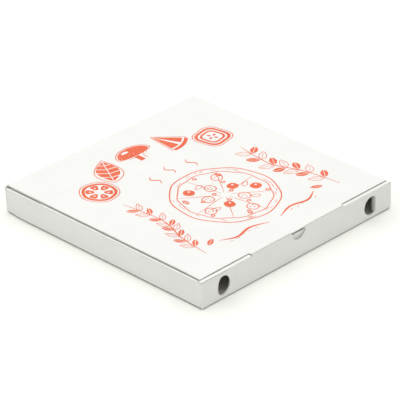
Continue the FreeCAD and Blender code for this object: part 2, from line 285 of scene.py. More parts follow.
# A mesh of quads. Kinds pick each quad's material, flats give its corners their place on the
# flat sheet, and spots are values at the points
def makeMesh(name, points, quads, materials, kinds=None, flats=None, spots=()):
    mesh = bpy.data.meshes.new(name)
    mesh.vertices.add(len(points))
    mesh.vertices.foreach_set("co", (points * metre).astype(np.float32).ravel())
    mesh.loops.add(quads.size)
    mesh.loops.foreach_set("vertex_index", quads.astype(np.int32).ravel())
    mesh.polygons.add(len(quads))
    mesh.polygons.foreach_set("loop_start", np.arange(0, quads.size, 4, dtype=np.int32))
    mesh.polygons.foreach_set("loop_total", np.full(len(quads), 4, np.int32))
    for material in materials:
        mesh.materials.append(material)
    if kinds is not None:
        mesh.polygons.foreach_set("material_index", kinds.astype(np.int32))
    mesh.update(calc_edges=True)
    if flats is not None:
        layer = mesh.uv_layers.new(name="flatSheet")
        layer.data.foreach_set("uv", (flats * metre).astype(np.float32).ravel())
    for label, values in spots:
        column = mesh.attributes.new(label, "FLOAT", "POINT")
        column.data.foreach_set("value", values.astype(np.float32))
    mesh.polygons.foreach_set("use_smooth", np.ones(len(quads), bool))
    mesh.set_sharp_from_angle(angle=board["sharpAngle"])
    mesh.validate()
    piece = bpy.data.objects.new(name, mesh)
    bpy.context.scene.collection.objects.link(piece)
    return piece


# Nodes and node groups that several papers share


# A node with its inputs: another node's output is linked, a plain value is set
def addNode(tree, kind, links=(), **settings):
    node = tree.nodes.new(kind)
    for label, value in settings.items():
        setattr(node, label, value)
    for socket, source in dict(links).items():
        if isinstance(source, bpy.types.NodeSocket):
            tree.links.new(source, node.inputs[socket])
        else:
            node.inputs[socket].default_value = source
    return node


def mathNode(tree, operation, *values):
    return addNode(tree, "ShaderNodeMath", enumerate(values), operation=operation).outputs[0]


def rangeNode(tree, value, low, high, bottom=0.0, top=1.0):
    links = {"Value": value, "From Min": low, "From Max": high, "To Min": bottom, "To Max": top}
    return addNode(tree, "ShaderNodeMapRange", links).outputs["Result"]


def mixNode(tree, share, first, second):
    links = {"Factor": share, "A": first, "B": second}
    return addNode(tree, "ShaderNodeMix", links, data_type="RGBA").outputs["Result"]


def noiseNode(tree, place, scale, detail):
    links = {"Vector": place, "Scale": scale, "Detail": detail}
    return addNode(tree, "ShaderNodeTexNoise", links).outputs["Fac"]


def startGroup(name, value, outputs):
    group = bpy.data.node_groups.new(name, "ShaderNodeTree")
    group.interface.new_socket("Vector", in_out="INPUT", socket_type="NodeSocketVector")
    number = group.interface.new_socket(value[0], in_out="INPUT", socket_type="NodeSocketFloat")
    number.default_value = value[1]
    for label in outputs:
        group.interface.new_socket(label, in_out="OUTPUT", socket_type="NodeSocketFloat")
    return group, group.nodes.new("NodeGroupInput").outputs, group.nodes.new("NodeGroupOutput").inputs


# How the fibre's noises are scaled, and which part of their range counts
fibreLook = {
    "cloud": (28.0, 4.0), "grain": (2300.0, 3.0), "fleck": (900.0, 1.0),    # scale and detail
    "stretch": (1.0, 0.28, 1.0),
    "cloudRange": (0.35, 0.65), "fleckRange": (0.70, 0.78),
    "shadeAndWearRange": (0.25, 0.5), "roughRange": (0.3, 0.7), "roughSpread": 0.06,
}


# Paper fibre: clouds a few centimetres wide, fine grain, and sparse darker specks
def buildPaperFibre():
    group, taken, given = startGroup("paperFibre", ("Specks", 0.5), ("Cloud", "Grain", "Speck"))
    place = taken["Vector"]
    stretched = addNode(group, "ShaderNodeMapping", {"Vector": place, "Scale": fibreLook["stretch"]})
    fleck = noiseNode(group, stretched.outputs[0], *fibreLook["fleck"])
    fleck = rangeNode(group, fleck, *fibreLook["fleckRange"])
    group.links.new(noiseNode(group, place, *fibreLook["cloud"]), given["Cloud"])
    group.links.new(noiseNode(group, place, *fibreLook["grain"]), given["Grain"])
    group.links.new(mathNode(group, "MULTIPLY", fleck, taken["Specks"]), given["Speck"])
    return group


# Flutes that show faintly through the liner: a cosine across the sheet, once a wave
def buildFluteRibs():
    wave = ("Wave", board["fluteWave"] * metre)
    group, taken, given = startGroup("fluteRibs", wave, ("Height", "Turn"))
    across = addNode(group, "ShaderNodeSeparateXYZ", {0: taken["Vector"]}).outputs["X"]
    turn = mathNode(group, "MULTIPLY", mathNode(group, "DIVIDE", across, taken["Wave"]), 2 * math.pi)
    group.links.new(mathNode(group, "COSINE", turn), given["Height"])
    group.links.new(turn, given["Turn"])
    return group


paperFibre = buildPaperFibre()
fluteRibs = buildFluteRibs()


def startMaterial(name, rough, gloss):
    material = bpy.data.materials.new(name)
    material.use_nodes = True
    tree = material.node_tree
    shader = tree.nodes["Principled BSDF"]
    shader.inputs["Roughness"].default_value = rough
    shader.inputs["Specular IOR Level"].default_value = gloss
    return material, tree, shader


def fibreNode(tree, specks):
    space = addNode(tree, "ShaderNodeTexCoord").outputs["Object"]
    links = {"Vector": space, "Specks": specks}
    return addNode(tree, "ShaderNodeGroup", links, node_tree=paperFibre).outputs


# The place on the flat sheet, and the flutes there
def sheetNodes(tree):
    place = addNode(tree, "ShaderNodeUVMap", uv_map="flatSheet").outputs["UV"]
    return place, addNode(tree, "ShaderNodeGroup", {"Vector": place}, node_tree=fluteRibs).outputs


def attributeNode(tree, label):
    return addNode(tree, "ShaderNodeAttribute", attribute_name=label).outputs["Fac"]


def finishPaper(tree, shader, colour, height):
    bump = addNode(tree, "ShaderNodeBump", {"Height": height, "Strength": 1.0, "Distance": metre})
    tree.links.new(colour, shader.inputs["Base Color"])
    tree.links.new(bump.outputs["Normal"], shader.inputs["Normal"])


# White or grey liner: paper colour, clouded and specked, darkened along the folds partly as wear and
# partly as painted shade at creases, gaps and the floor contact, with the flutes and the grain as bump
def paperMaterial(name, look):
    material, tree, shader = startMaterial(name, look["rough"], look["gloss"])
    fibre, ribs = fibreNode(tree, look["specks"]), sheetNodes(tree)[1]
    tone = rangeNode(tree, fibre["Cloud"], *fibreLook["cloudRange"])
    ribTone = rangeNode(tree, ribs["Height"], -1.0, 1.0, 0.0, look["ribShow"])
    # Painted shade and wear: where the crease attribute is high the paper is mixed towards a dark
    # colour, patchy with the grain
    patchy = rangeNode(tree, fibre["Grain"], *fibreLook["shadeAndWearRange"])
    shadeAndWear = mathNode(tree, "MULTIPLY", attributeNode(tree, "crease"), patchy)
    shadeAndWear = mathNode(tree, "MINIMUM", mathNode(tree, "MULTIPLY", shadeAndWear, look["shadeAndWear"]), 1.0)
    paper = mixNode(tree, tone, look["shade"], look["colour"])
    paper = mixNode(tree, ribTone, paper, look["shade"])
    paper = mixNode(tree, fibre["Speck"], paper, look["speckColour"])
    paper = mixNode(tree, shadeAndWear, paper, look["shadeAndWearColour"])
    roughest, smoothest = [look["rough"] + side * fibreLook["roughSpread"] for side in (1, -1)]
    rough = rangeNode(tree, fibre["Grain"], *fibreLook["roughRange"], smoothest, roughest)
    tree.links.new(rough, shader.inputs["Roughness"])
    grain = mathNode(tree, "MULTIPLY", fibre["Grain"], look["grainHigh"])
    finishPaper(tree, shader, paper,
                mathNode(tree, "MULTIPLY_ADD", ribs["Height"], look["ribHigh"], grain))
    return material


# A cut edge: two pale liners, and between them the wavy ply, a sine of the place across
# the sheet, with shadow in its hollows
def edgeMaterial(name, look):
    material, tree, shader = startMaterial(name, look["rough"], look["gloss"])
    fibre = fibreNode(tree, look["specks"])
    place, ribs = sheetNodes(tree)
    sizes = [look[label] * metre for label in ("waveHigh", "plyHalf", "plyEnd", "linerFrom", "linerTo")]
    waveHigh, plyHalf, plyEnd, linerFrom, linerTo = sizes
    level = addNode(tree, "ShaderNodeSeparateXYZ", {0: place}).outputs["Y"]
    wave = mathNode(tree, "MULTIPLY", mathNode(tree, "SINE", ribs["Turn"]), waveHigh)
    away = mathNode(tree, "ABSOLUTE", mathNode(tree, "SUBTRACT", level, wave))
    ply = rangeNode(tree, away, plyHalf, plyEnd, 1.0, 0.0)
    liner = rangeNode(tree, mathNode(tree, "ABSOLUTE", level), linerFrom, linerTo)
    shut = mathNode(tree, "SUBTRACT", 1.0, attributeNode(tree, "openFlutes"))
    solid = mathNode(tree, "MAXIMUM", mathNode(tree, "MAXIMUM", ply, liner), shut)
    paper = mixNode(tree, fibre["Grain"], look["fibreShade"], look["fibre"])
    grain = mathNode(tree, "MULTIPLY", fibre["Grain"], look["grainHigh"])
    finishPaper(tree, shader, mixNode(tree, solid, look["hollow"], paper),
                mathNode(tree, "MULTIPLY_ADD", solid, look["plyHigh"], grain))
    return material


outerPaper = paperMaterial("whiteLiner", {
    "colour": (0.862, 0.860, 0.844, 1), "shade": (0.842, 0.840, 0.822, 1),
    "specks": 0.25, "speckColour": (0.62, 0.60, 0.55, 1),
    # The dark fold colour stands in for painted shade in creases and contact lines as well as for wear
    "shadeAndWear": 1.0, "shadeAndWearColour": (0.28, 0.275, 0.25, 1),
    "rough": 0.72, "gloss": 0.25, "ribShow": 0.25, "ribHigh": 0.010, "grainHigh": 0.02,
})
innerPaper = paperMaterial("innerLiner", {
    "colour": (0.770, 0.750, 0.715, 1), "shade": (0.735, 0.714, 0.678, 1),
    "specks": 0.6, "speckColour": (0.50, 0.44, 0.36, 1),
    "shadeAndWear": 0.3, "shadeAndWearColour": (0.70, 0.66, 0.60, 1),
    "rough": 0.82, "gloss": 0.15, "ribShow": 0.5, "ribHigh": 0.022, "grainHigh": 0.03,
})
cutEdge = edgeMaterial("cutEdge", {
    "fibre": (0.87, 0.865, 0.85, 1), "fibreShade": (0.81, 0.80, 0.78, 1),
    "hollow": (0.60, 0.58, 0.545, 1),
    "waveHigh": 0.34, "plyHalf": 0.13, "plyEnd": 0.208, "linerFrom": 0.5, "linerTo": 0.55,
    "specks": 0.3, "rough": 0.9, "gloss": 0.1, "plyHigh": 0.25, "grainHigh": 0.05,
})
boardMaterials = [outerPaper, innerPaper, cutEdge]
print("materials made")


# The tray

tray = {
    "baseFold": 2.2,
    "frontFold": 1.7,
    "foldCut": 1.36,            # up to here the front fold stops short of the side walls
    "footRow": 3.6,             # the front wall's first row above its fold
    "sideTop": 30.0,
    "sideRearTop": 29.4,        # the side walls' rear stretch is cut a little lower
    "sideStep": 89.5,
    "sideUnderStrip": 29.2,
    "stripTop": 31.0,
    "stripDepth": 5.1,
    "stripFold": 1.8,
    "stripInnerFold": 0.9,
    "middleEdge": 68.5,
    "slit": 0.5,
    "slitFoot": 28.7,
    "middleTop": 31.9,
    "rearTop": 30.5,
    "earFold": 0.3,
    "earGap": 0.03,
    "earPress": 1.5,            # so tight a fold is pressed thinner
    "earFoot": 2.3,
    "earTop": 29.0,
    "rearEarTop": 26.9,
    "frontEar": 12.0,
    "rearEar": 30.0,
    "lockTab": (73.0, 87.0),
    "lockSlot": (72.7, 87.3),
    "slotDepth": (-136.7, -134.6),
    "arch": {"across": 110.2, "half": 18.0, "top": 26.0, "corner": 6.0},
    "notch": {"radius": 10.5, "height": 32.0, "fineTo": 12.0},
    "vent": {"across": 110.2, "height": 15.2, "radius": 10.5, "before": 1.5, "after": 1.8},
    # Each vent's disc, left and right: its hinge line, half the height it hangs by, how far it
    # swings, its bend, the rounding at the hinge line's ends, and how much painted shade darkens the
    # bend
    "discs": {-1: {"hinge": 7.2, "hold": 5.4, "swing": 112.0, "bend": 1.0, "corner": 3.4, "bendShade": 1.0},
              1: {"hinge": 8.0, "hold": 6.0, "swing": 134.0, "bend": 2.9, "corner": 1.5, "bendShade": 2.6}},
    "discTip": 0.9985,                  # each disc's grid ends just short of its circle's tip
    "discFade": 1.5,                    # its hinge line's squeeze fades over this travel
    "creaseSharp": 0.6,                 # radius of the left rolled end's outer fold
    "creaseFrom": (92.0, 112.0),        # it sharpens over this stretch, and on to the corner
    "frontLean": 0.8,                   # how far the front wall's middle leans in at its top
    "leanFrom": 6.0,                    # up from here, and fading out across the slits
    "leanFade": (-18.0, 16.0),
    "ventShift": {-1: (-0.6, 0.6), 1: (-0.9, 0.3)},     # across and up
    "ventReach": (12.0, 19.0),          # the shift holds to here and ends there
    "ventDepth": 24.0,                  # how far in the discs reach
    "ventFoot": (0.5, 4.0), "ventHead": (25.0, 29.0),   # and the heights where it fades
    "ventSkew": (0.05, 0.17),           # how the left vent's hinge slants, below and above
    "skewFrom": (0.0, 6.0), "skewTo": (9.0, 14.0),
    "rearDraw": 2.0, "rearFrom": 116.0, "rearWide": 36.0,   # the left wall's rear end is drawn in
    # Painted shade: how dark the base folds are made for the contact shadow, the other folds (shade and
    # wear), and the crease line
    "baseGrime": 2.3, "foldShadeAndWear": 0.25, "lineShade": 0.55,
    "lineDepth": 0.35, "lineHigh": 1.1,     # the dark line where the sharp crease meets the wall
    "coarse": 5.0,
    "fine": 1.05,
}

# Where a side wall ends and its ear's fold starts, and the inside of the side walls
wallEnd = halfDepth - board["thick"] - tray["earGap"] - tray["earFold"]
behindWall = halfWidth - board["thick"] - board["gap"]


def trayAcross():
    vent, arch, slot, tab = tray["vent"], tray["arch"], tray["lockSlot"], tray["lockTab"]
    coarse, fine = tray["coarse"], tray["fine"]
    ventLeft = vent["across"] - vent["radius"]
    chords = sorted(vent["across"] + disc["hinge"] for disc in tray["discs"].values())
    return mirrored(divide(
        0, (tray["notch"]["fineTo"], fine), (tray["middleEdge"], coarse),
        (tray["middleEdge"] + tray["slit"], 1), (slot[0], coarse), (tab[0], 1), (tab[1], coarse),
        (slot[1], 1), (arch["across"] - arch["half"], coarse), (ventLeft - vent["before"], 2),
        (ventLeft, fine), (chords[0], fine), (chords[1], fine), (chords[1] + vent["after"], fine),
        (arch["across"] + arch["half"], 2.5), (halfWidth - tray["baseFold"], coarse),
        (behindWall, 1), (halfWidth, 2)))


def trayAlong():
    slotBack, slotFront = tray["slotDepth"]
    return divide(
        tray["frontFold"] - halfDepth, (-wallEnd, 2), (slotBack, 2), (slotFront, 3),
        (tray["sideStep"], tray["coarse"]), (wallEnd, tray["coarse"]),
        (halfDepth - tray["baseFold"], 2))


# Half the height of the vent's circle at a disc's hinge line
def chordHalf(disc):
    return math.sqrt(tray["vent"]["radius"] ** 2 - disc["hinge"] ** 2)


# Heights of the front wall's rows, with marks at both ends of each disc's hinge line
def frontRows():
    reaches = [reach for disc in tray["discs"].values() for reach in (disc["hold"], chordHalf(disc))]
    marks = [tray["vent"]["height"] + side * reach for reach in reaches for side in (-1, 1)]
    marks = sorted(marks + [tray["footRow"], tray["slitFoot"]])
    return divide(tray["frontFold"], (marks[0], 2), *[(mark, tray["fine"]) for mark in marks[1:]])


# Rear wall, base and front wall are one band, carried from side to side
def mainBand(across, along):
    rows, rearTop, baseFold = frontRows(), tray["rearTop"], tray["baseFold"]
    path = foldPath((halfDepth, rearTop), -90, [
        {"run": divide(0, (rearTop - baseFold, tray["coarse"]))}, quarter(baseFold),
        {"run": along[-1] - along[::-1]}, quarter(tray["frontFold"]), {"run": rows - rows[0]}])
    aside = np.abs(middles(across))[:, None]
    depth, high = middles(path["points"]).T[:, None]
    slotLow, slotHigh = tray["lockSlot"]
    slotBack, slotFront = tray["slotDepth"]
    inSlot = (aside > slotLow) & (aside < slotHigh) & (depth > slotBack) & (depth < slotFront)
    keep = ~((high < 0.01) & (inSlot | (aside > halfWidth - baseFold)))
    keep &= ~((high < tray["foldCut"]) & (aside > behindWall))
    flat = (across[:, None], halfDepth + rearTop - path["travel"][None])
    return carryPath(path, "x", across, flat, keep), path["travel"][-1]


# The front wall's middle stands on to the lid's top
def middleWall(across, travelled):
    inside = within(across, tray["middleEdge"])
    path = foldPath((-halfDepth, tray["slitFoot"]), 90, [
        {"run": divide(0, (tray["middleTop"] - tray["slitFoot"], tray["fine"]))}])
    flat = (inside[:, None], halfDepth + tray["rearTop"] - travelled - path["travel"][None])
    return carryPath(path, "x", inside, flat)


# The front wall's right end rolls over the ear: a strip on top, and a wing down to the base
def rolledEnd(across, travelled):
    places = across[across >= tray["middleEdge"] + tray["slit"] - 0.01]
    arch, fold, innerFold = tray["arch"], tray["stripFold"], tray["stripInnerFold"]
    wingTop = tray["stripTop"] - innerFold
    wing = divide(board["gap"], (tray["earFoot"], 2), (arch["top"] - arch["corner"], 4),
                  (arch["top"], 1.2), (wingTop, 3))
    path = foldPath((-halfDepth, tray["slitFoot"]), 90, [
        {"run": [0, tray["stripTop"] - fold - tray["slitFoot"]]}, quarter(fold, 7),
        {"run": divide(0, (tray["stripDepth"] - fold - innerFold, 1.3))},
        quarter(innerFold), {"run": wingTop - wing[::-1]}])
    aside = middles(places)[:, None]
    depth, high = middles(path["points"]).T[:, None]
    onWing = (high < wingTop) & (depth > -halfDepth + tray["stripDepth"] / 2)
    inTab = (aside > tray["lockTab"][0]) & (aside < tray["lockTab"][1])
    keep = ~(onWing & ((aside > behindWall) | ((high < tray["earFoot"]) & ~inTab)))
    flat = (places[:, None], halfDepth + tray["rearTop"] - travelled - path["travel"][None])
    return carryPath(path, "x", places, flat, keep)


# The left side wall, and its ends folded in as ears behind the front and rear walls
def sideWall(along):
    places, baseFold, rearTop = within(along, wallEnd), tray["baseFold"], tray["sideRearTop"]
    rows = divide(baseFold, (tray["earFoot"], 1), (tray["rearEarTop"], 5), (tray["earTop"], 1.2),
                  (tray["sideUnderStrip"], 1), (rearTop, 1), (tray["sideTop"], 1))
    path = foldPath((-halfWidth + baseFold, 0), 180, [quarter(baseFold), {"run": rows - rows[0]}])
    high, depth = middles(path["points"])[None, :, 1], middles(places)[:, None]
    keep = ~((high > tray["sideUnderStrip"]) & (depth < tray["slotDepth"][1]))
    keep &= ~((high > rearTop) & (depth > tray["sideStep"]))
    across = -halfWidth + baseFold - path["travel"]
    patches = [carryPath(path, "y", places, (across[None], places[:, None]), keep)]
    for end, reach, top in ((-1, tray["frontEar"], tray["earTop"]),
                            (1, tray["rearEar"], tray["rearEarTop"])):
        heights = rows[(rows >= tray["earFoot"]) & (rows <= top + 0.01)]
        path = foldPath((-halfWidth, end * wallEnd), 90 * end, [
            quarter(tray["earFold"]), {"run": divide(0, (reach, 4))}], side=end)
        path["pressed"] = path["pressed"] * tray["earPress"]
        level = -halfWidth + baseFold * (1 - math.pi / 2) - (heights - baseFold)
        flat = (level[:, None], end * (wallEnd + path["travel"][None]))
        patches.append(carryPath(path, "z", heights, flat))
    return patches


# A vent's disc, drawn on the right, swings in on its hinge: its half height is the circle's,
# sqrt(radius^2 - (hinge - travel)^2), and the grid is squeezed to it
def ventDisc(disc):
    vent, hinge = tray["vent"], disc["hinge"]
    rows = within(frontRows() - vent["height"], disc["hold"])
    rounding = np.sin(np.linspace(0, 1, 15) * math.pi / 2)
    last = hinge + vent["radius"] * tray["discTip"] - disc["bend"] * math.radians(disc["swing"])
    path = foldPath((vent["across"] + hinge, -halfDepth), 180, [
        {"turn": disc["swing"], "radius": disc["bend"], "steps": 10}, {"run": last * rounding}])
    half = np.sqrt(vent["radius"] ** 2 - (hinge - path["travel"]) ** 2)
    half -= (chordHalf(disc) - disc["hold"]) * np.exp(-path["travel"] / tray["discFade"])
    heights = vent["height"] + (rows / rows[-1])[:, None] * half[None]
    flat = (vent["across"] + hinge - path["travel"][None], -heights)
    patch = carryPath(path, "z", heights, flat)
    # Painted shade: the bend is darkened through the crease attribute, for the dimness inside the box
    patch["crease"] = patch["crease"] * disc["bendShade"]
    return patch


# The vents' holes, the wings' arches and the notch
def cutTray(sheet):
    vent, arch, notch = tray["vent"], tray["arch"], tray["notch"]

    def onFront(middle):
        return middle[:, 1] < -halfDepth + 0.01

    def onWings(middle):
        wing = -halfDepth + tray["stripDepth"]
        return (np.abs(middle[:, 1] - wing) < 0.01) & (middle[:, 2] < arch["top"] + 2)

    def notchHole(spots):
        return np.linalg.norm(spots - np.array([0, notch["height"]]), axis=1) - notch["radius"]

    for side, disc in tray["discs"].items():
        def ventHole(spots):
            local = (spots - np.array([side * vent["across"], vent["height"]])) * np.array([side, 1])
            circle = np.linalg.norm(local, axis=1) - vent["radius"]
            return roundMost(circle, local[:, 0] - disc["hinge"], disc["corner"])

        def archHole(spots):
            half = (arch["half"], arch["top"])
            return roundBox(spots, (side * arch["across"], 0), half, arch["corner"])

        cutSheet(sheet, [0, 2], onFront, ventHole)
        cutSheet(sheet, [0, 2], onWings, archHole)
    cutSheet(sheet, [0, 2], onFront, notchHole)


# How far the left rolled end's outer crease has sharpened, from 0 to 1
def creaseShare(across):
    return smooth(-across, *tray["creaseFrom"])


# Takes a distance from the strip's outer corner as the wide fold has it to where the sharp
# one has it: the fold's own part shrinks, the rest of the strip's depth stretches
def sharpen(distance):
    wide, sharp, depth = tray["stripFold"], tray["creaseSharp"], tray["stripDepth"]
    return np.interp(distance, [0, wide, depth], [0, sharp, depth]) - np.clip(distance, 0, depth)


# The tray is not quite true. The left rolled end's outer crease is sharper than the right
# one's, the front wall leans in between the rolled ends, the vents sit a little off their
# places, and the left wall's rear end leans in at its foot. Each is a smooth step of place
def bendTray(outer):
    across, along, up = outer.T
    move = np.zeros_like(outer)
    inward, down = along + halfDepth, tray["stripTop"] - up
    sharp = creaseShare(across) * (np.maximum(inward, down) < tray["stripDepth"])
    # The side wall and its ear, under the strip, stay where they are
    move[:, 1] += sharp * (down < tray["stripFold"] - 0.05) * sharpen(inward)
    move[:, 2] -= sharp * (inward < board["thick"]) * sharpen(down)

    front = along < -halfDepth + tray["stripDepth"] + 1
    fade = [tray["middleEdge"] + reach for reach in tray["leanFade"]]
    rise = (1 - smooth(np.abs(across), *fade)) * smooth(up, tray["leanFrom"], tray["stripTop"])
    move[:, 1] += np.where(front, tray["frontLean"] * rise, 0)

    vent = tray["vent"]
    near = (along < -halfDepth + tray["ventDepth"]) * smooth(up, *tray["ventFoot"])
    near = near * (1 - smooth(up, *tray["ventHead"]))
    for side, shift in tray["ventShift"].items():
        distance = np.hypot(across - side * vent["across"], up - vent["height"])
        share = near * (1 - smooth(distance, *tray["ventReach"]))
        move[:, ::2] += share[:, None] * np.array(shift)
    beside = -across - vent["across"]
    byHinge = near * smooth(beside, *tray["skewFrom"]) * (1 - smooth(beside, *tray["skewTo"]))
    slant = np.where(up < vent["height"], *tray["ventSkew"])
    move[:, 0] += slant * byHinge * np.abs(up - vent["height"])

    rear = smooth(along, tray["rearFrom"], halfDepth)
    rear = rear * (1 - smooth(across, -halfWidth, -halfWidth + tray["rearWide"]))
    move[:, 0] += tray["rearDraw"] * rear * (1 - np.clip(up / tray["sideTop"], 0, 1))
    return move


# Painted shade on the tray's folds: the folds at the base are darkened most, as the contact shadow on
# the floor, the other folds a little, partly wear and partly painted shade, and the sharp crease has a
# painted dark line where it meets the wall
def trayShadeAndWear(sheet):
    across, along, high = sheet["outer"].T[..., None]
    line = (along < -halfDepth + tray["lineDepth"]) & (high > tray["stripTop"] - tray["lineHigh"])
    darkening = np.where(high < tray["baseFold"] + 0.1, tray["baseGrime"], tray["foldShadeAndWear"])
    return sheet["crease"] * darkening + tray["lineShade"] * line * creaseShare(across)


def makeTray():
    across, along = trayAcross(), trayAlong()
    band, travelled = mainBand(across, along)
    rolled, walls = rolledEnd(across, travelled), sideWall(along)
    discs = [otherSide(ventDisc(tray["discs"][-1])), ventDisc(tray["discs"][1])]
    sides = [rolled, otherSide(rolled)] + walls + [otherSide(patch) for patch in walls]
    sheet = joinPatches([band, middleWall(across, travelled)] + discs + sides)
    cutTray(sheet)
    bendSheet(sheet, bendTray)
    sheet["crease"] = trayShadeAndWear(sheet)
    piece = makeBoard("trayBoard", sheet, boardMaterials)
    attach(piece, "tray")
    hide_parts("tray")


makeTray()
print("tray made")


# The lid

lid = {
    "top": 31.92,
    "edge": 138.1,
    "front": -137.6,
    "endFront": -134.6,
    "sag": 0.3, "cornerDip": 0.35, "dipReach": 22.0,
    "drawIn": 0.9, "drawFrom": 60.0,    # the left edge draws in
    "cornerOut": 0.4, "cornerFrom": (118.0, 134.0),     # but less at its front corner
    "flapLean": 0.3,
    # The lid's folds are darkened a little: painted shade for the gap line along its edges, partly wear
    "foldShadeAndWear": 0.15,
    "middleHalf": 68.0,
    "fold": 0.6,
    "rearFold": 1.2,
    "flapFront": -132.8,
    "flapRear": 136.0,
    "flapSlant": 10.0,
    "flapLength": 20.0,
    "tabHalf": 67.0,
    "tabLength": 22.0,
    "tabLean": 2.5,
    "tabCorner": 10.0,
    "notchHalf": 9.0,
    "tabFold": 0.9,
    "lip": 2.2,             # how far the top runs on over the notch
    "lipCut": -0.7,         # how its left end is cut
    # Painted shade: the lip's last row is darkened fully, for the shadow of the slit beneath it
    "lipRows": (0, 0.85, 1), "lipPressed": (0, 1.0, 1.2), "lipShade": (0, 1.6, 8.0),
    "slitDown": 2.3,        # the slit under the lip
}


def lidPatches():
    fold, top, edge, notchHalf = lid["fold"], lid["top"], lid["edge"], lid["notchHalf"]
    foldStart, frontStart = edge - fold, lid["front"] + lid["tabFold"]
    rearStart = halfDepth - lid["rearFold"]
    across = mirrored(divide(0, (notchHalf, 3), (lid["tabHalf"], 5), (lid["middleHalf"], 1),
                             (foldStart, 5)))
    along = divide(lid["endFront"], (lid["flapFront"], 5), (lid["flapRear"], 5), (rearStart, 5))

    # Flap, top and flap: one band, carried from front to back
    drop = divide(0, (board["thick"] + lid["flapLength"] - fold, 2.2))
    path = foldPath((-edge, top - board["thick"] - lid["flapLength"]), 90, [
        {"run": drop}, quarter(fold), {"run": across - across[0]}, quarter(fold), {"run": drop}])
    spots = middles(path["points"])
    flapRange = (middles(along) > lid["flapFront"]) & (middles(along) < lid["flapRear"])
    keep = (np.abs(spots[:, 0]) < foldStart)[None] | flapRange[:, None]
    flat = (path["travel"][None] - path["travel"][-1] / 2, along[:, None])
    patches = [carryPath(path, "y", along, flat, keep)]

    # Past the flaps the top runs flat to its cut edge
    path = foldPath((foldStart, top), 0, [{"run": [0, fold]}])
    for rows in (along[along <= lid["flapFront"] + 0.01], along[along >= lid["flapRear"] - 0.01]):
        flat = (foldStart + path["travel"][None], rows[:, None])
        patch = carryPath(path, "y", rows, flat)
        patches += [patch, otherSide(patch)]

    # The hinge fold at the rear
    whole = np.concatenate([[-edge], across, [edge]])
    path = foldPath((rearStart, top), 0, [
        quarter(lid["rearFold"]), {"run": [0, top - lid["rearFold"] - tray["rearTop"]]}])
    patches.append(carryPath(path, "x", whole, (whole[:, None], rearStart + path["travel"][None])))

    # The middle reaches further forward, and folds down into the tuck tab
    middle = within(across, lid["middleHalf"])
    path = foldPath((lid["endFront"], top), 180, [{"run": divide(0, (lid["endFront"] - frontStart, 3))}],
                    side=-1)
    flat = (middle[:, None], lid["endFront"] - path["travel"][None])
    patches.append(carryPath(path, "x", middle, flat))
    middle = within(across, lid["tabHalf"])
    lean = 90 + lid["tabLean"]
    down = divide(0, (lid["slitDown"], 1), (lid["tabLength"] - lid["tabCorner"], 4),
                  (lid["tabLength"], 1.7))
    path = foldPath((frontStart, top), 180, [
        {"turn": lean, "radius": lid["tabFold"], "steps": 6}, {"run": down}], side=-1)
    inward = np.maximum(path["travel"] - path["travel"][-1] + lid["tabCorner"], 0)
    places = middle[:, None] * (1 - inward[None] / lid["tabHalf"])
    slitFoot = lid["tabFold"] * math.radians(lean) + lid["slitDown"]
    overNotch = np.abs(middles(middle)) < notchHalf
    keep = ~(overNotch[:, None] & (middles(path["travel"]) < slitFoot)[None])
    patches.append(carryPath(path, "x", places, (places, frontStart - path["travel"][None]), keep))

    # Over the notch the top runs on as a pressed lip, and the tab starts below a slit
    middle = within(across, notchHalf)
    path = foldPath((frontStart, top), 180, [{"run": np.array(lid["lipRows"]) * lid["lip"]}], side=-1)
    path["pressed"] = np.array(lid["lipPressed"])
    lip = carryPath(path, "x", middle, (middle[:, None], frontStart - path["travel"][None]))
    for face in ("outer", "inner"):
        lip[face][0, 1:, 0] += lid["lipCut"]
    # Painted shade along the lip's edge, standing in for the shadow of the slit below
    lip["crease"] = lip["crease"] * np.array(lid["lipShade"])
    return patches + [lip]


# The side flaps' ends are cut at a slant
def cutLid(sheet):
    tip = lid["top"] - board["thick"] - lid["flapLength"]

    def onFlaps(middle):
        return np.abs(middle[:, 0]) > lid["edge"] - 0.01

    def slanted(spots):
        slant = lid["flapSlant"] * (1 - (spots[:, 1] - tip) / lid["flapLength"])
        return np.minimum(spots[:, 0] - lid["flapFront"], lid["flapRear"] - spots[:, 0]) - slant

    cutSheet(sheet, [1, 2], onFlaps, slanted)


# The lid is not quite flat: its top sags a little between its edges, and its front-left
# corner dips
def lidSag(across, along):
    middle = (1 - (across / lid["edge"]) ** 2) * (1 - (along / halfDepth) ** 2)
    corner = np.hypot(across + lid["edge"], along - lid["endFront"])
    dip = lid["cornerDip"] * (1 - smooth(corner, 0, lid["dipReach"]))
    return -lid["sag"] * np.clip(middle, 0, 1) - dip


# The lid's left edge draws in, and both flaps lean inward below the fold
def bendLid(outer):
    across, along, up = outer.T
    move = np.zeros_like(outer)
    drawn = lid["drawIn"] - lid["cornerOut"] * smooth(-along, *lid["cornerFrom"])
    move[:, 0] = drawn * smooth(-across, lid["drawFrom"], lid["edge"])
    onFlap = (np.abs(across) > lid["edge"] - 0.01) & (np.abs(along) < lid["flapRear"] + 0.1)
    below = np.maximum(lid["top"] - lid["fold"] - up, 0)
    move[:, 0] -= np.where(onFlap, np.sign(across) * below * lid["flapLean"], 0)
    move[:, 2] = np.where(np.abs(along) < halfDepth - 3, lidSag(across, along), 0)
    return move


def makeLid():
    sheet = joinPatches(lidPatches())
    cutLid(sheet)
    bendSheet(sheet, bendLid)
    # Painted shade and wear along the lid's folds
    sheet["crease"] = sheet["crease"] * lid["foldShadeAndWear"]
    piece = makeBoard("lidBoard", sheet, boardMaterials)
    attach(piece, "lid")
    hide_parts("lid")


makeLid()
print("lid made")


# The print: one ink on the lid's top, every curve and stroke a thin closed layer

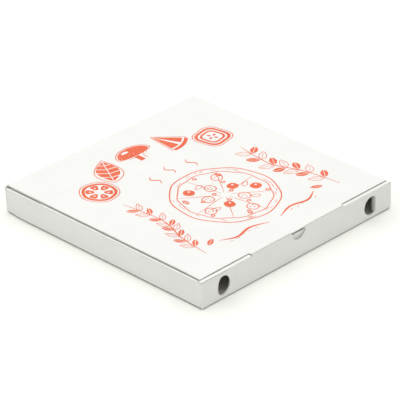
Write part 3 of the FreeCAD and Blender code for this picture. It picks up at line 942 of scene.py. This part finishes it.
ink = {
    "high": 0.03,      # how far the ink stands off the paper
    "step": 0.0012,    # each layer a little higher than the one before, so that none coincide
    "layers": 24,      # and after so many they start again
    "deep": 0.06,
    "body": (0.73, 0.108, 0.042, 1), "bodyPale": (0.80, 0.150, 0.060, 1),
    "thin": (0.80, 0.36, 0.25, 1), "bare": (0.86, 0.78, 0.72, 1),
    "thinRange": (0.52, 0.72), "thinMost": 0.5,
    "rough": 0.6, "gloss": 0.25, "specks": 0.8,
    "line": 1.15, "fine": 0.8, "outline": 1.0,      # widths of strokes
    # Each motif's middle, its size, and its turn in degrees
    "tomato": ((-83, 60), 18.5), "mushroom": ((0, 93), 21), "slice": ((45, 84), 24, 200),
    "pepper": ((84, 60), 18), "pizza": ((2, -36), 57),
    "leaf": ((-46, 85), 43, 25, 62), "leafOutline": ((-46, 85), 49, 30.5, 62),
    # A sprig's stem, its pairs of leaves, and their length, width and lean
    "sprigs": ((((-97, -104), (-92, -66), (-80, -28), (-84, 24)), 8, 15, 6.2, 38),
               (((101, -104), (95, -62), (82, -24), (87, 22)), 7, 17, 8.4, 48)),
    "steam": ((-26, 33), (0, 38), (27, 33)),
    "steamWave": ((0, -6), (3.2, 0), (-2.6, 7), (2, 13)),
    "brushStroke": ((70, -96), (52, -104), (30, -100), (8, -107)),
}


def inkMaterial():
    material, tree, shader = startMaterial("redInk", ink["rough"], ink["gloss"])
    fibre = fibreNode(tree, ink["specks"])
    tone = rangeNode(tree, fibre["Cloud"], *fibreLook["cloudRange"])
    thin = rangeNode(tree, fibre["Grain"], *ink["thinRange"], 0.0, ink["thinMost"])
    colour = mixNode(tree, thin, mixNode(tree, tone, ink["body"], ink["bodyPale"]), ink["thin"])
    tree.links.new(mixNode(tree, fibre["Speck"], colour, ink["bare"]), shader.inputs["Base Color"])
    return material


# Places at a distance and a bearing in degrees from a centre
def fromCentre(centre, reach, bearing):
    angle = np.radians(bearing)
    return np.array(centre, float) + np.stack([reach * np.cos(angle), reach * np.sin(angle)], -1)


# A curve turned by an angle and set down at a place
def placeCurve(points, centre, turn=0.0):
    ahead, aside = fromCentre((0, 0), 1, turn), fromCentre((0, 0), 1, turn + 90)
    return np.array(centre, float) + points[..., :1] * ahead + points[..., 1:] * aside


# A closed curve: radius * (1 + wobble * sin(lobes * t + lobes)) at each turn t, with its
# second axis squashed
def ringCurve(centre, radius, wobble=0.0, lobes=3, squash=1.0, turn=0.0, count=40):
    angles = np.linspace(0, 2 * math.pi, count + 1)
    reach = radius * (1 + wobble * np.sin(lobes * angles + lobes))
    curve = np.stack([reach * np.cos(angles), reach * np.sin(angles) * squash], 1)
    return placeCurve(curve, centre, turn)


# Ink between two curves with equally many points: near + share * (far - near)
def fillBetween(near, far, steps=2):
    share = np.linspace(0, 1, steps + 1)[None, :, None]
    return near[:, None] + share * (far - near)[:, None]


# A closed curve filled in, but for a small copy of itself, moved aside by a shift
def fillCurve(curve, hole=0.03, shift=(0, 0), steps=3):
    middle = curve[:-1].mean(0)
    return fillBetween(middle + np.array(shift) + hole * (curve - middle), curve, steps)


# A stroke along a line, width * (thin + (1 - thin) * sin(pi * share)) wide
def strokeAlong(points, width, thin=0.35):
    heading = unit(np.gradient(points, axis=0))
    side = np.stack([-heading[:, 1], heading[:, 0]], 1)
    share = np.linspace(0, 1, len(points))
    half = width / 2 * (thin + (1 - thin) * np.sin(np.pi * share))[:, None]
    return fillBetween(points - half * side, points + half * side, 1)


# A smooth line through a few marks: between two marks each point is a cubic of the four
# nearest, 0.5 * (2b + (c - a)t + (2a - 5b + 4c - d)t^2 + (3b - a - 3c + d)t^3)
def smoothLine(marks, steps=8):
    marks = np.array(marks, float)
    ends = np.concatenate([[2 * marks[0] - marks[1]], marks, [2 * marks[-1] - marks[-2]]])
    share = np.linspace(0, 1, steps, endpoint=False)[:, None]
    parts = []
    for first, second, third, fourth in zip(ends[:-3], ends[1:-2], ends[2:-1], ends[3:]):
        parts.append(0.5 * (2 * second + (third - first) * share
                            + (2 * first - 5 * second + 4 * third - fourth) * share ** 2
                            + (3 * second - first - 3 * third + fourth) * share ** 3))
    return np.concatenate(parts + [marks[-1:]])


# A leaf's edge: half width * sin(pi * share ^ 0.8) on both sides of its rib
def leafCurve(centre, length, width, turn, count=14):
    share = np.linspace(0, 1, count + 1)
    rise = width / 2 * np.sin(math.pi * share ** 0.8)
    upper = np.stack([(share - 0.5) * length, rise], 1)
    lower = np.stack([(share - 0.5) * length, -rise], 1)[::-1]
    return placeCurve(np.concatenate([upper, lower[1:]]), centre, turn)


# A solid leaf: two halves beside the rib, each in a few cells with slanted veins between
def leafFills(centre, length, width, turn, cells=5, rib=0.5):
    fills, share = [], np.linspace(0, 1, 7)
    for side in (-1, 1):
        for cell in range(cells):
            along = (cell + 0.04 + 0.84 * share) / cells
            rise = width / 2 * np.sin(math.pi * along ** 0.8)
            near = np.stack([(along - 0.5) * length, np.full(7, side * rib)], 1)
            far = np.stack([(along - 0.5) * length + rise * 0.28, side * np.maximum(rise, rib + 0.3)], 1)
            fills.append(placeCurve(fillBetween(near, far), centre, turn))
    return fills


def tomatoSlice(centre, radius):
    outline, skin = [ringCurve(centre, radius + away, 0.018, 5) for away in (2.2, 0)]
    flesh = ringCurve(centre, radius - 3.4, 0.02, 5)
    fills = [strokeAlong(outline, ink["outline"], 1), fillBetween(flesh, skin)]
    # Each seed chamber is a rounded wedge in turns about the middle: its place outward is
    # sign(cos) * |cos| ^ 0.55, and sideways the same of the sine
    angles = np.linspace(0, 2 * math.pi, 25)
    out, aside = [np.sign(wave) * np.abs(wave) ** 0.55 for wave in (np.cos(angles), np.sin(angles))]
    for cell in range(6):
        wedge = fromCentre(centre, radius * (0.52 + 0.25 * out), 60 * cell + 14 + 21 * aside)
        fills.append(fillCurve(wedge, 0.26))
    return fills


def mushroom(centre, size, turn=0.0):
    angles = np.linspace(0, 2 * math.pi, 41)
    high = np.where(np.sin(angles) > 0, 0.62, 0.20)
    cap = size * np.stack([np.cos(angles), high * np.sin(angles)], 1)
    down = np.linspace(0, 1, 9)
    half = size * (0.20 + 0.10 * (1 - down) ** 2 + 0.07 * down ** 2)
    level = -size * (0.27 + 0.52 * down)
    left, light, right = [np.stack([half * side, level], 1) for side in (-1, 0.2, 1)]
    fills = [fillCurve(cap, 0.24, (size * -0.30, size * 0.22)),
             strokeAlong(cap * 1.10, ink["outline"], 1),
             fillBetween(left, light), strokeAlong(right, ink["outline"])]
    for place in (-0.62, -0.42, 0.42, 0.62):
        gill = size * np.array([(place, -0.24), (place * 0.86, -0.38)])
        fills.append(strokeAlong(gill, ink["fine"], 0.8))
    return [placeCurve(fill, centre, turn) for fill in fills]


def pizzaSlice(centre, size, turn):
    share = np.linspace(-1, 1, 17)
    rim = size * np.stack([0.62 * share, 0.62 - 0.13 * share ** 2], 1)
    body = size * np.stack([0.55 * share, 0.44 - 0.13 * share ** 2], 1)
    cheese = fillBetween(body * 0.05 - np.array([0, size * 0.86]), body, 6)
    # The cheese is left open where the toppings lie, row by row
    fills = [fillBetween(rim - np.array([0, size * 0.10]), rim + np.array([0, size * 0.08])),
             cheese[:7], cheese[9:]]
    for side in (-1, 1):
        edge = np.array([(side * size * 0.70, size * 0.45), (side * 0.5, -size * 0.97)])
        fills.append(strokeAlong(edge, ink["outline"], 0.9))
    return [placeCurve(fill, centre, turn) for fill in fills]


def pepperRings(centre, radius):
    fills = []
    for reach, width in ((radius + 2.2, 0.5), (radius - 1.6, 1.7), (radius - 6.6, 1.3)):
        fills.append(fillBetween(ringCurve(centre, reach - width, 0.075, 4),
                                 ringCurve(centre, reach + width, 0.075, 4)))
    for bearing in (20, 110, 200, 290):
        place = fromCentre(centre, radius - 13.5, bearing)
        fills.append(fillCurve(leafCurve(place, 5.5, 2.8, bearing)))
    return fills


# A sprig: a stem through marks, and leaves in pairs that lean forward along it, solid and in
# outline by turns
def sprig(marks, count, length, width, lean):
    stem = smoothLine(marks, 12)
    fills = [strokeAlong(stem, ink["line"] * 1.2, 0.5)]
    for pair in range(count):
        spot = int(len(stem) * (0.16 + 0.80 * pair / count))
        step = stem[min(spot + 1, len(stem) - 1)] - stem[spot - 1]
        for side in (-1, 1):
            turn = math.degrees(math.atan2(step[1], step[0])) + side * lean
            centre = fromCentre(stem[spot], length * 0.58, turn)
            if (pair + (side > 0)) % 2 == 0:
                fills += leafFills(centre, length, width, turn, 1, 0.35)
            else:
                fills.append(strokeAlong(leafCurve(centre, length, width, turn), ink["fine"], 1))
                rib = np.stack([fromCentre(centre, length * reach, turn) for reach in (-0.4, 0.3)])
                fills.append(strokeAlong(rib, ink["fine"] * 0.8, 0.8))
    return fills


def wholePizza(centre, radius, chance):
    fills = [strokeAlong(ringCurve(centre, radius, 0.010, 9, count=96), ink["line"] * 1.2, 1),
             strokeAlong(ringCurve(centre, radius - 8, 0.016, 11, count=96), ink["line"], 1)]
    for turn in range(0, 360, 45):
        marks = [fromCentre(centre, reach, turn + 9) + chance.normal(0, 0.35, 2)
                 for reach in (5, 18, 32, radius - 9)]
        fills.append(strokeAlong(smoothLine(marks), ink["fine"], 0.5))
    for turn in chance.uniform(0, 360, 30):
        bearings = turn + np.linspace(0, chance.uniform(4, 10), 5)
        bubble = fromCentre(centre, radius - chance.uniform(2.4, 6.0), bearings)
        fills.append(strokeAlong(bubble, ink["fine"]))
    # Toppings: salami rounds, leaves and olive rings, in rings about the middle
    for number in range(10):
        place = fromCentre(centre, (20, 37)[number % 2], 36 * number + 21)
        salami = ringCurve(place, 6.4, 0.03, 4, 0.94, 40 * number, 28)
        if number % 3 == 0:
            fills.append(fillCurve(salami, 0.22, (1.6, 1.8)))
        else:
            fills.append(strokeAlong(salami, ink["line"], 1))
            fills += [fillCurve(ringCurve(place + spot, 0.9, count=10), 0.1)
                      for spot in ((-2, 1.5), (1.8, 2.1), (0.6, -2.2))]
    for number in range(7):
        place = fromCentre(centre, (31, 43)[number % 2], 51.4 * number + 2)
        turn = 80 * number + 25
        if number % 2:
            fills += leafFills(place, 11, 5.6, turn, 2, 0.3)
        else:
            fills.append(strokeAlong(leafCurve(place, 11, 5.6, turn), ink["fine"], 1))
    for number in range(9):
        place = fromCentre(centre, (11, 27, 45)[number % 3], 40 * number + 8)
        fills.append(fillBetween(ringCurve(place, 1.1, count=14), ringCurve(place, 2.5, count=14)))
    return fills


def inkFills():
    chance = np.random.default_rng(12)
    fills = tomatoSlice(*ink["tomato"]) + leafFills(*ink["leaf"])
    fills.append(strokeAlong(leafCurve(*ink["leafOutline"]), ink["outline"], 1))
    fills += mushroom(*ink["mushroom"]) + pizzaSlice(*ink["slice"]) + pepperRings(*ink["pepper"])
    fills += wholePizza(*ink["pizza"], chance)
    for values in ink["sprigs"]:
        fills += sprig(*values)
    for place in ink["steam"]:
        marks = np.array(place) + np.array(ink["steamWave"])
        fills.append(strokeAlong(smoothLine(marks), ink["line"] * 1.5, 0.2))
    for side in (-1, 1):
        marks = np.array(ink["brushStroke"]) * (side, 1)
        fills.append(strokeAlong(smoothLine(marks), ink["line"] * 2.6, 0.2))
        fills += leafFills((side * 78, -92), 16, 6, 90 + side * 62, 1, 0.3)
        for place in range(5):
            start = np.array([side * (24 + 9 * place), -107 + chance.uniform(0, 3)])
            fills.append(strokeAlong(np.stack([start, start + (4.5 * side, 1.6)]), ink["fine"], 0.7))
    return fills


def makePrint():
    patches = []
    for level, grid in enumerate(inkFills()):
        rows, columns = grid.shape[:2]
        paper = lid["top"] + lidSag(grid[..., 0], grid[..., 1])
        high = ink["high"] + ink["step"] * (level % ink["layers"])
        patches.append({
            "outer": np.dstack([grid, paper + high]), "inner": np.dstack([grid, paper - ink["deep"]]),
            "facing": np.tile([0.0, 0.0, 1.0], (rows, columns, 1)), "flat": grid,
            "crease": np.zeros((rows, columns)), "keep": np.ones((rows - 1, columns - 1), bool)})
    piece = makeBoard("lidPrint", joinPatches(patches), [inkMaterial()] * 3, [0, 1], [0, 0])
    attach(piece, "lid")


makePrint()
print("print made")


# Camera, lamps and floor

camera = {
    "azimuth": -46.068, "elevation": 29.266, "roll": -0.128,
    "lens": 273.7, "sensor": 36.0,
    "target": (0.01697, 0.01388, 0.0), "distance": 3.15,
}


def makeCamera():
    turn, rise = math.radians(camera["azimuth"]), math.radians(camera["elevation"])
    roll = math.radians(camera["roll"])
    back = Vector((math.sin(turn) * math.cos(rise), -math.cos(turn) * math.cos(rise), math.sin(rise)))
    right = Vector((0, 0, 1)).cross(back).normalized()
    up = back.cross(right)
    rolledRight = math.cos(roll) * right + math.sin(roll) * up
    rolledUp = math.cos(roll) * up - math.sin(roll) * right
    data = bpy.data.cameras.new("photoCamera")
    data.lens, data.sensor_width = camera["lens"], camera["sensor"]
    data.clip_start, data.clip_end = 0.1, 50
    eye = bpy.data.objects.new("photoCamera", data)
    bpy.context.scene.collection.objects.link(eye)
    matrix = Matrix((rolledRight, rolledUp, back)).transposed().to_4x4()
    matrix.translation = Vector(camera["target"]) + back * camera["distance"]
    eye.matrix_world = matrix
    bpy.context.scene.camera = eye


light = {
    "skyColour": (1.0, 0.995, 0.88), "skyStrength": 0.08,
    "topSize": 8.3, "topPlace": (-0.35, 0.45, 2.2), "topPower": 223.0, "topColour": (1.0, 1.0, 0.994),
    "floorSize": 14.0, "floorColour": (0.97, 0.97, 0.935, 1),
}


def makeLights():
    world = bpy.data.worlds.new("studio")
    bpy.context.scene.world = world
    world.use_nodes = True
    tree = world.node_tree
    tree.nodes.clear()
    path = addNode(tree, "ShaderNodeLightPath")
    seen = mathNode(tree, "MAXIMUM", path.outputs["Is Camera Ray"], path.outputs["Is Glossy Ray"])
    seen = mathNode(tree, "MAXIMUM", seen, path.outputs["Is Transmission Ray"])
    soft = addNode(tree, "ShaderNodeBackground", {"Color": (*light["skyColour"], 1),
                                                  "Strength": light["skyStrength"]})
    white = addNode(tree, "ShaderNodeBackground", {"Color": (1, 1, 1, 1), "Strength": 1.0})
    mixed = addNode(tree, "ShaderNodeMixShader", {0: seen, 1: soft.outputs[0], 2: white.outputs[0]})
    addNode(tree, "ShaderNodeOutputWorld", {"Surface": mixed.outputs[0]})
    data = bpy.data.lights.new("topSoftbox", "AREA")
    data.shape, data.size = "DISK", light["topSize"]
    data.energy, data.color = light["topPower"], light["topColour"]
    lamp = bpy.data.objects.new("topSoftbox", data)
    lamp.location = light["topPlace"]
    bpy.context.scene.collection.objects.link(lamp)


def makeFloor():
    half = light["floorSize"] / 2 / metre
    points = np.array([(-half, -half, 0), (half, -half, 0), (half, half, 0), (-half, half, 0)], float)
    material, _, shader = startMaterial("paleFloor", 0.9, 0.0)
    shader.inputs["Base Color"].default_value = light["floorColour"]
    floor = makeMesh("floor", points, np.array([[0, 1, 2, 3]]), [material])


makeCamera()
makeLights()
makeFloor()
bpy.context.scene.view_settings.view_transform = "Standard"
print("camera, lamps and floor made")
